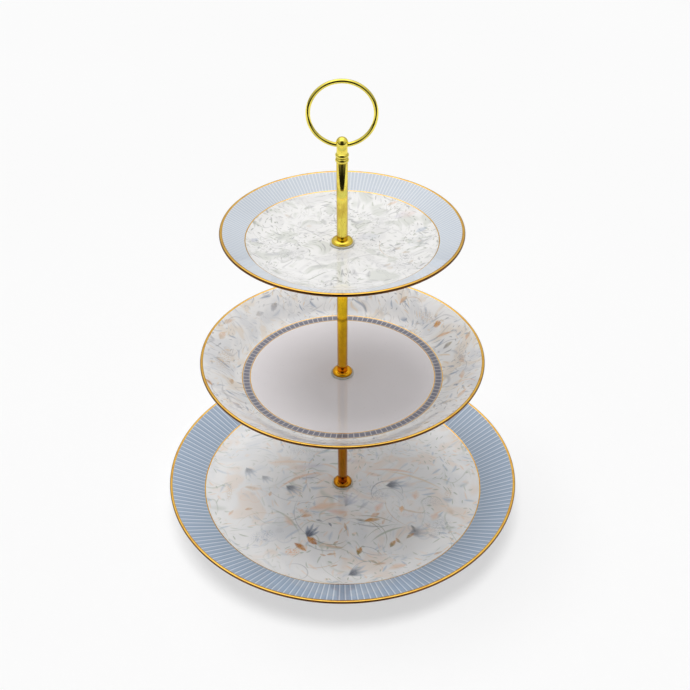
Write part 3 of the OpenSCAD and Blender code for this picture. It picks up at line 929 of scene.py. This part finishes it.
def paint_middle(p):
    """The middle plate's rim: loose petals and leaves in pale blue, peach and gold."""
    p.foliage((-71, 23, 0), 0.8, GREY, BLUE, PALE_TAN, 0.8)
    for row in (
        (-80, 14, 60, 13, TAN, GREY, 0.27), (60, 58, 0, 12, BLUE, PEACH, 0.24),
        (86, -8, 20, 14, BLUE, GREY, 0.21), (-60, -58, 40, 13, BLUE, PEACH, 0.21),
        (20, -86, 0, 12, GREY, PEACH, 0.21), (-40, 74, 0, 13, GREY, BLUE, 0.24),
    ):
        p.blossom(*row)
    for row in (
        (70, 48, 0, 5.5, 5.0, GOLD_INK, GOLD_INK, 0.95),
        (76, 26, 20, 7, 3.6, SLATE, OLIVE, 0.7),
        (46, 76, 30, 7, 3.0, PEACH, TAN, 0.8),
        (90, 25, 60, 7, 3.0, PEACH, TAN, 0.7),
        (74, 37, -10, 11, 2.2, PEACH, GOLD_INK, 0.7),
        (-52, 69, 60, 8, 4.0, BLUE, SLATE, 0.6),
        (-62, 60, 40, 7, 3.4, GREY, BLUE, 0.6),
        (-87, 27, 70, 9, 4.0, TAN, PEACH, 0.6),
        (-77, -15, 90, 7, 3.0, TAN, GOLD_INK, 0.6),
        (-70, -46, -40, 10, 4.0, LILAC, BLUE, 0.7),
        (60, -54, 40, 11, 4.0, LILAC, BLUE, 0.5),
        (55, -65, 20, 4, 2.4, OLIVE, OLIVE, 0.8),
        (-90, -31, -40, 7, 3.0, GOLD_INK, GOLD_INK, 0.8),
        (80, -37, 50, 10, 4.0, PALE_PEACH, PEACH, 0.7),
        (83, -12, 80, 10, 3.4, PEACH, PALE_PEACH, 0.6),
        (-30, -84, 10, 9, 3.0, BLUE, LILAC, 0.5),
        (34, -82, -20, 8, 3.0, PALE_PEACH, TAN, 0.6),
        (-84, 42, 50, 9, 3.0, TAN, GOLD_INK, 0.5),
        (20, 90, 0, 9, 3.0, TAN, PEACH, 0.5),
        (-20, 88, 10, 9, 3.4, PALE_PEACH, TAN, 0.6),
        (84, 6, 100, 11, 3.4, PEACH, BLUE, 0.5),
    ):
        p.petal(*row, soft=0.6, gilt=0.15)
    for row in (
        (80, -30, 60, 10, 80, PEACH, 0.6), (78, -2, 0, 9, 80, GREY, 0.5),
        (-78, -34, 200, 10, 70, BLUE, 0.5), (-74, 40, 130, 10, 70, GREY, 0.5),
        (44, -72, 300, 12, 60, SAGE, 0.6), (-46, -72, 240, 12, 60, GREY, 0.5),
        (50, 66, 60, 10, 70, TAN, 0.5), (0, -90, 270, 9, 80, GREY, 0.4),
    ):
        p.stem(*row)
    for row in (
        (-84, 4, 80, 30, 12, TAN, 0.5), (84, 10, 90, 30, 12, GREY, 0.4),
        (0, -84, 0, 40, 10, GREY, 0.35), (64, 56, 130, 26, 10, TAN, 0.4),
    ):
        p.stipple(*row)


def paint_top(p):
    """The top plate's well: a pale grey print with a few tan and blue touches."""
    p.foliage((57, -33, 0), 0.95, ASH, GREY, SAGE, 0.75)
    for row in (
        (-33, -12, 20, 24, GREY, GREY, 0.24), (-22, 22, 0, 18, GREY, TAN, 0.21),
        (26, 26, 0, 18, GREY, GREY, 0.18), (30, -30, 0, 20, GREY, TAN, 0.21),
        (-10, -40, 40, 18, GREY, GREY, 0.21), (50, 2, 0, 16, BLUE, TAN, 0.21),
    ):
        p.blossom(*row)
    for row in (
        (35, -7, 30, 7, 3.0, SLATE, TAN, 0.55), (41, -11, 10, 6, 2.4, TAN, OLIVE, 0.55),
        (52, 15, 20, 9, 5.0, PALE_BLUE, BLUE, 0.6), (28, -27, 40, 7, 2.6, GREY, TAN, 0.5),
        (28, -46, 20, 6, 2.6, GREY, GREY, 0.5), (16, -47, 0, 7, 2.4, GREY, GREY, 0.5),
        (43, -24, 60, 7, 2.4, GREY, TAN, 0.5), (23, -13, 80, 6, 2.4, GREY, GREY, 0.45),
        (-12, 27, 100, 8, 3.0, GREY, GREY, 0.45), (-57, 0, 60, 8, 4.0, LILAC, BLUE, 0.6),
        (-23, 46, 30, 9, 3.0, SAGE, GREY, 0.6), (34, 48, 10, 8, 2.6, TAN, PEACH, 0.6),
        (42, 35, 0, 16, 8.0, LILAC, PINK, 0.4), (11, 27, 40, 9, 3.6, GREY, LILAC, 0.45),
        (-45, -14, 20, 12, 5.0, GREY, LILAC, 0.35), (-40, 8, 60, 11, 4.0, GREY, SAGE, 0.4),
        (-14, -28, 10, 12, 4.0, GREY, GREY, 0.35), (8, -36, 110, 10, 3.4, GREY, GREY, 0.4),
        (-36, 34, 150, 8, 3.0, GREY, TAN, 0.4), (16, 8, 20, 18, 10.0, LILAC, PALE_BLUE, 0.35),
    ):
        p.petal(*row)
    for row in (
        (-60, -28, 50, 58, 22, GREY, 0.55), (8, 40, 250, 34, 40, GREY, 0.4),
        (20, -30, 120, 16, 70, GREY, 0.4), (-28, -34, 60, 16, 70, GREY, 0.4),
        (40, -4, 200, 16, 70, TAN, 0.4), (6, -56, 90, 20, 50, GREY, 0.4),
    ):
        p.stem(*row)
    for row in ((-34, -14, 0, 26, 16, GREY, 0.35), (40, -20, 60, 26, 14, GREY, 0.35)):
        p.stipple(*row)


PRINT_GLOSS = 0.025
UNDER_GLOSS = 0.1
GLAZE_IOR = 1.62
GLAZE_RELIEF = 0.02 * MM
GILT_W = 2.1
GILT_UNDER_W = 0.9
# How far in from the rim the painted shade on the lip reaches, in millimetres
LIP_SHADE_W = 0.4
# Far enough past the lip, or inside the middle, for a ring to have one edge only
PAST = 9


def gild(b, shader, place, colour, gold, lip_shade):
    """Glaze over the print, gilding where the gold mask says, and dark bronze where the lip-shade mask
    says, a painted shade on the lip's outer edge.
    """
    glazed = b.use(GLAZE, place=place, color=colour, gloss=PRINT_GLOSS)
    tone = b.mix(lip_shade, GILDING, LIP_SHADE_BRONZE)
    gilt = b.use(POLISH, place=place, color=tone, deep=ink(188, 118, 52), gloss=0.14, lines=0.0)
    shader.inputs["IOR"].default_value = GLAZE_IOR
    b.feed(b.mix(gold, glazed["Color"], gilt["Color"]), shader.inputs["Base Color"])
    b.feed(gold, shader.inputs["Metallic"])
    rough = b.between(gold, glazed["Roughness"], gilt["Roughness"])
    b.feed(rough, shader.inputs["Roughness"])
    raise_surface(b, shader, glazed["Height"], GLAZE_RELIEF)


def ring_line(b, place, low, high, edge=0.2, wander=0.25):
    """Where a painted ring lies, from one radius to the other."""
    return b.use(
        RING_LINE, radius=place["Radius"], flat=place["Flat"], **{"from": low}, to=high, edge=edge,
        wander=wander)["Mask"]


def printed_material(tier, paint, gold_rings, band):
    """A plate's upper face. band lays the bands that belong to this plate over the painted colour."""
    dish = DISHES[tier]
    made, b, shader, place = new_material(tier + " plate print")
    flat = b.use(PLATE_PLACE, place=place)
    painter = Painter(b, flat["Flat"], WHITE)
    paint(painter)
    colour = band(b, flat, painter.colour)
    gold = painter.gold
    rings = [(dish.radius - GILT_W, dish.radius + PAST)] + gold_rings
    for low, high in rings:
        gold = b.math("MAXIMUM", gold, ring_line(b, flat, low, high))
    # The outer edge of the lip is painted dark bronze, a painted shade
    lip_shade = ring_line(b, flat, dish.radius - LIP_SHADE_W, dish.radius + PAST, 0.3, 0.1)
    gild(b, shader, place, colour, gold, lip_shade)
    return made


STRIPE_COUNT = 190
ROPE_COUNT = 112
ROPE_IN = 65.2
ROPE_OUT = 70.4


def striped_rim(b, place, colour, tier, gap, light, bar, dark):
    """Fine bars on the rim, from the verge out to the lip."""
    dish = DISHES[tier]
    stripes = b.use(
        STRIPES, turn=place["Turn"], flat=place["Flat"], count=STRIPE_COUNT, gap=gap,
        light=light, bar=bar, dark=dark)["Color"]
    return b.mix(ring_line(b, place, dish.verge_r, dish.radius + PAST), colour, stripes)


def bottom_band(b, place, colour):
    tones = (ink(206, 216, 228), ink(158, 175, 196), ink(134, 153, 178))
    return striped_rim(b, place, colour, "bottom", 0.22, *tones)


def middle_band(b, place, colour):
    """A plain well inside a rope border."""
    # The plain well is tinted faintly pink, a painted tint of the shade under the top plate
    plain = b.mix(ring_line(b, place, -PAST, ROPE_IN + 0.3), colour, ink(243, 238, 240))
    rope = b.use(
        ROPE, radius=place["Radius"], turn=place["Turn"], count=ROPE_COUNT,
        middle=(ROPE_IN + ROPE_OUT) / 2, half=2.4, light=ink(208, 203, 203),
        dark=ink(124, 123, 138))["Color"]
    return b.mix(ring_line(b, place, ROPE_IN, ROPE_OUT, 0.2, 0.0), plain, rope)


def top_band(b, place, colour):
    tones = (ink(228, 233, 240), ink(205, 214, 225), ink(190, 201, 215))
    return striped_rim(b, place, colour, "top", 0.35, *tones)


def underside_material(tier):
    """A plate's plain glazed underside, with the gilt lip in dark bronze as painted shade, and the bare
    ring of its foot.
    """
    dish = DISHES[tier]
    made, b, shader, place = new_material(tier + " plate underside")
    flat = b.use(PLATE_PLACE, place=place)
    height = b.split(place)[2]
    low = (dish.seat - WELL_WALL - FOOT_H) * MM
    bare = b.smooth(height, low + 0.05 * MM, low + 0.35 * MM, 1.0, 0.0)
    colour = b.mix(bare, ink(238, 237, 238), ink(214, 206, 194))
    gold = ring_line(b, flat, dish.radius - GILT_UNDER_W, dish.radius + PAST)
    glazed = b.use(GLAZE, place=place, color=colour, gloss=UNDER_GLOSS)
    # The gilt under the lip is dark bronze, a painted shade
    gilt = b.use(POLISH, place=place, color=LIP_SHADE_BRONZE, deep=ink(72, 44, 18), gloss=0.16, lines=0.0)
    b.feed(b.mix(gold, glazed["Color"], gilt["Color"]), shader.inputs["Base Color"])
    b.feed(gold, shader.inputs["Metallic"])
    rough = b.math("MULTIPLY_ADD", bare, 0.6, glazed["Roughness"])
    b.feed(rough, shader.inputs["Roughness"])
    grain = b.noise(b.vector("SCALE", place, scale=1000), 2.5, 3.0, flat=False)
    height = b.math("MULTIPLY_ADD", bare, grain, glazed["Height"])
    raise_surface(b, shader, height, GLAZE_RELIEF)
    return made


COLUMN_H = 340.0
METAL_RELIEF = 0.01 * MM


def metal_material(name, stops, deep, gloss, lines, rim=0.0):
    """Polished metal whose tone drifts with height, and deepens as painted shade where it turns away from
    the camera.
    """
    made, b, shader, place = new_material(name)
    height = b.math("MULTIPLY", b.split(place)[2], 1000)
    share = b.math("DIVIDE", height, COLUMN_H)
    tone = b.ramp(share, stops)
    # Painted shade: where the surface turns away from the camera the tone deepens towards deep, by the rim
    # share
    facing = b.node("ShaderNodeLayerWeight", {"Blend": 0.35}).outputs["Facing"]
    tone = b.mix(b.smooth(facing, 0.25, 0.75, 0.0, rim), tone, deep)
    polish = b.use(POLISH, place=place, color=tone, deep=deep, gloss=gloss, lines=lines)
    b.feed(polish["Color"], shader.inputs["Base Color"])
    b.feed(polish["Roughness"], shader.inputs["Roughness"])
    shader.inputs["Metallic"].default_value = 1.0
    raise_surface(b, shader, polish["Height"], METAL_RELIEF)
    return made


def plastic_material():
    """The milky plastic of the gaskets, a little yellowed where it is handled."""
    made, b, shader, place = new_material("gasket plastic")
    mm = b.vector("SCALE", place, scale=1000)
    cloud = b.smooth(b.noise(mm, 0.35, 3.0, flat=False), 0.3, 0.7)
    b.feed(b.mix(cloud, ink(214, 213, 202), ink(196, 194, 176)), shader.inputs["Base Color"])
    b.feed(b.smooth(b.noise(mm, 1.2, 2.0, flat=False), 0.2, 0.8, 0.3, 0.5), shader.inputs["Roughness"])
    raise_surface(b, shader, b.noise(mm, 3.0, 2.0, flat=False), METAL_RELIEF)
    return made


# ---------------------------------------------------------------- build

LOW_GOLD = (0.50, 0.19, 0.008, 1)
WARM_GOLD = (0.80, 0.40, 0.012, 1)
MID_GOLD = (0.92, 0.60, 0.02, 1)
TOP_GOLD = (0.92, 0.78, 0.13, 1)
# The gold's tone at shares of the column's height, a painted shade and reflection: dark and red low down
# among the shaded plates, pale lemon at the top
GOLD_SHADE_STOPS = [
    (0.0, LOW_GOLD), (0.32, LOW_GOLD), (0.36, WARM_GOLD), (0.5, MID_GOLD), (0.64, MID_GOLD),
    (0.67, TOP_GOLD), (1.0, TOP_GOLD),
]
BRASS_STOPS = [(0.0, (0.78, 0.57, 0.25, 1)), (1.0, (0.80, 0.60, 0.28, 1))]
STEEL_STOPS = [(0.0, (0.58, 0.57, 0.54, 1)), (1.0, (0.62, 0.61, 0.58, 1))]
# Deep tones for the polish's smears and dull marks, and for the painted shade at the edges of rods and
# collars
ROD_DEEP = (0.42, 0.16, 0.01, 1)
COLLAR_DEEP = (0.50, 0.22, 0.01, 1)
HANDLE_DEEP = (0.45, 0.33, 0.05, 1)
BRASS_DEEP = (0.40, 0.27, 0.1, 1)
STEEL_DEEP = (0.3, 0.29, 0.27, 1)

POLISHED_GOLD = metal_material("polished gold rod", GOLD_SHADE_STOPS, ROD_DEEP, 0.07, 0.4, 0.75)
COLLAR_GOLD = metal_material("collar gold", GOLD_SHADE_STOPS, COLLAR_DEEP, 0.09, 0.8, 0.5)
HANDLE_GOLD = metal_material("handle gold", GOLD_SHADE_STOPS, HANDLE_DEEP, 0.06, 0.2)
INSERT_BRASS = metal_material("insert brass", BRASS_STOPS, BRASS_DEEP, 0.25, 2.0)
THREAD_STEEL = metal_material("thread steel", STEEL_STOPS, STEEL_DEEP, 0.28, 2.0)
GASKET_PLASTIC = plastic_material()

# Gold rings round the wells and beside the rope, as radii from and to
BOTTOM_RINGS = [(104.0, 104.8)]
MIDDLE_RINGS = [(64.8, 65.35), (70.35, 70.9)]
TOP_RINGS = [(62.4, 63.0)]

PRINTS = {
    "bottom": printed_material("bottom", paint_bottom, BOTTOM_RINGS, bottom_band),
    "middle": printed_material("middle", paint_middle, MIDDLE_RINGS, middle_band),
    "top": printed_material("top", paint_top, TOP_RINGS, top_band),
}

TIER_BODY = {"bottom": "base", "middle": "middle_tier", "top": "top_tier"}


def place_piece(piece, body, node, material=None):
    """Rides a finished piece on its body in place of its CAD node."""
    if material:
        piece.data.materials.append(material)
    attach(piece, body)
    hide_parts(node)


for tier, body in TIER_BODY.items():
    dish = make_dish(tier, PRINTS[tier], underside_material(tier))
    place_piece(dish, body, tier + "_plate")

for name, body, foot, length in (
    ("lower_rod", "lower_column", LOWER_ROD_Z, TIER_ROD_L),
    ("middle_rod", "middle_column", MIDDLE_ROD_Z, TIER_ROD_L),
    ("top_rod", "top_column", TOP_ROD_Z, TOP_ROD_L),
):
    rod = turned(name + "_tube", rod_outline(foot, length))
    place_piece(rod, body, name, POLISHED_GOLD)

UP = collar_outline()
DOWN = flipped(UP)
for node, body, outline, height in (
    ("bottom_collar", "lower_column", UP, BOTTOM_SEAT + GASKET_H),
    ("middle_collar_lower", "lower_column", DOWN, MIDDLE_SEAT - WELL_WALL - GASKET_H),
    ("middle_collar_upper", "middle_tier", UP, MIDDLE_SEAT + GASKET_H),
    ("top_collar_lower", "middle_column", DOWN, TOP_SEAT - WELL_WALL - GASKET_H),
    ("top_collar_upper", "top_tier", UP, TOP_SEAT + GASKET_H),
):
    collar = turned(node + "_dome", raised(outline, height))
    place_piece(collar, body, node, COLLAR_GOLD)

SLEEVED = gasket_outline(GASKET_H, SLEEVE_L)
for tier, body in TIER_BODY.items():
    seat = DISHES[tier].seat
    upper = turned(tier + "_pad_upper", raised(SLEEVED, seat))
    place_piece(upper, body, tier + "_gasket_upper", GASKET_PLASTIC)
    thick = UNDER_GASKET_H if tier == "bottom" else GASKET_H
    under = flipped(gasket_outline(thick))
    lower = turned(tier + "_pad_lower", raised(under, seat - WELL_WALL))
    place_piece(lower, body, tier + "_gasket_lower", GASKET_PLASTIC)

place_piece(make_finial(), "handle", "finial", HANDLE_GOLD)
place_piece(make_ring(), "handle", "ring_handle", HANDLE_GOLD)

for node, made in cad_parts.items():
    if "insert" in node or node == "base_washer":
        made.material_slots[0].material = INSERT_BRASS
    elif "stud" in node or node == "base_screw":
        made.material_slots[0].material = THREAD_STEEL


# ---------------------------------------------------------------- floor, light and camera

FLOOR_TONE = 0.62
FLOOR_GLOW = 0.345
FLOOR_SIZE = 8
FLOOR_FRONT = -0.585
BACKDROP = 0.955

# The world's light for the plates: overhead, at the horizon, and below it as a share
ZENITH = 0.5
HORIZON = 0.2
BELOW = 0.05

# What the glaze and the gold reflect: a brighter room with a bright card overhead
SHEEN = 1.6
SHEEN_CARD = 1.1
SHEEN_EDGE = cos(radians(48))
SHEEN_CORE = cos(radians(12))

# A dark card in front of the stand, for the metal's dark streaks
DARK_FROM = Vector((0.0, -0.93, 0.36))
DARK_EDGE = cos(radians(44))
DARK_CORE = cos(radians(20))
DARK_LEVEL = 0.06

SUN = 1.66
SUN_SPREAD = radians(43)
SUN_FROM = Vector((-0.12, 0.09, 0.98))

CAMERA_AT = Vector((1.8, -598.9, 578.0)) * MM
CAMERA_DOWN = radians(36.24)
CAMERA_LENS = 55.77


def make_floor():
    """A pale floor. It glows a little to soften the shadow, and ends in front of the stand."""
    deselect()
    middle = (0, FLOOR_FRONT + FLOOR_SIZE / 2, 0)
    bpy.ops.mesh.primitive_plane_add(size=FLOOR_SIZE, location=middle)
    floor = bpy.context.object
    floor.name = "floor"
    bpy.ops.object.transform_apply(location=True, rotation=True, scale=True)
    bpy.ops.object.mode_set(mode="EDIT")
    bpy.ops.mesh.subdivide(number_cuts=3)
    bpy.ops.object.mode_set(mode="OBJECT")
    made, b, shader, place = new_material("studio floor")
    cloud = b.noise(place, 3.0, 2.0, flat=False)
    tone = b.smooth(cloud, 0.2, 0.8, FLOOR_TONE - 0.006, FLOOR_TONE)
    b.feed(b.grey(tone), shader.inputs["Base Color"])
    shader.inputs["Roughness"].default_value = 0.9
    shader.inputs["Specular IOR Level"].default_value = 0.0
    shader.inputs["Emission Color"].default_value = (1, 1, 1, 1)
    shader.inputs["Emission Strength"].default_value = FLOOR_GLOW
    floor.data.materials.append(made)


def make_world():
    """Soft studio surroundings, plain where the camera looks straight at them.

    Light and reflections meet a dark card in front, and reflections a bright one overhead.
    """
    world = bpy.data.worlds.new("studio")
    bpy.context.scene.world = world
    world.use_nodes = True
    world.node_tree.nodes.clear()
    b = Bench(world.node_tree)
    way = b.node("ShaderNodeTexCoord").outputs["Generated"]
    ray = b.node("ShaderNodeLightPath").outputs
    height = b.split(way)[2]
    level = b.math("MULTIPLY_ADD", b.math("MAXIMUM", height, 0.0), ZENITH, HORIZON)
    level = b.math("MULTIPLY", level, b.smooth(height, -0.2, 0.0, BELOW, 1.0))
    dark = b.vector("DOT_PRODUCT", way, DARK_FROM.normalized(), out=1)
    level = b.math("MULTIPLY", level, b.smooth(dark, DARK_EDGE, DARK_CORE, 1.0, DARK_LEVEL))
    card = b.vector("DOT_PRODUCT", way, SUN_FROM.normalized(), out=1)
    sheen = b.smooth(card, SHEEN_EDGE, SHEEN_CORE, SHEEN - 1, SHEEN - 1 + SHEEN_CARD)
    level = b.math("MULTIPLY", level, b.math("MULTIPLY_ADD", ray["Is Glossy Ray"], sheen, 1))
    seen = b.between(ray["Is Camera Ray"], level, BACKDROP)
    back = b.node("ShaderNodeBackground", {"Color": (1, 1, 1, 1), "Strength": seen})
    output = b.node("ShaderNodeOutputWorld")
    b.feed(back.outputs[0], output.inputs["Surface"])


def make_light():
    """A broad soft key from overhead that leaves no patch of its own on the glaze."""
    data = bpy.data.lights.new("soft key", "SUN")
    data.energy = SUN
    data.angle = SUN_SPREAD
    lamp = bpy.data.objects.new("soft key", data)
    lamp.rotation_mode = "QUATERNION"
    lamp.rotation_quaternion = SUN_FROM.to_track_quat("Z", "Y")
    lamp.visible_glossy = False
    bpy.context.scene.collection.objects.link(lamp)


def make_camera():
    data = bpy.data.cameras.new("camera")
    data.lens = CAMERA_LENS
    data.sensor_width = 36
    camera = bpy.data.objects.new("camera", data)
    camera.location = CAMERA_AT
    camera.rotation_euler = (pi / 2 - CAMERA_DOWN, 0, 0)
    bpy.context.scene.collection.objects.link(camera)
    bpy.context.scene.camera = camera


make_floor()
make_world()
make_light()
make_camera()
bpy.context.scene.view_settings.view_transform = "Standard"

bpy.context.view_layer.update()
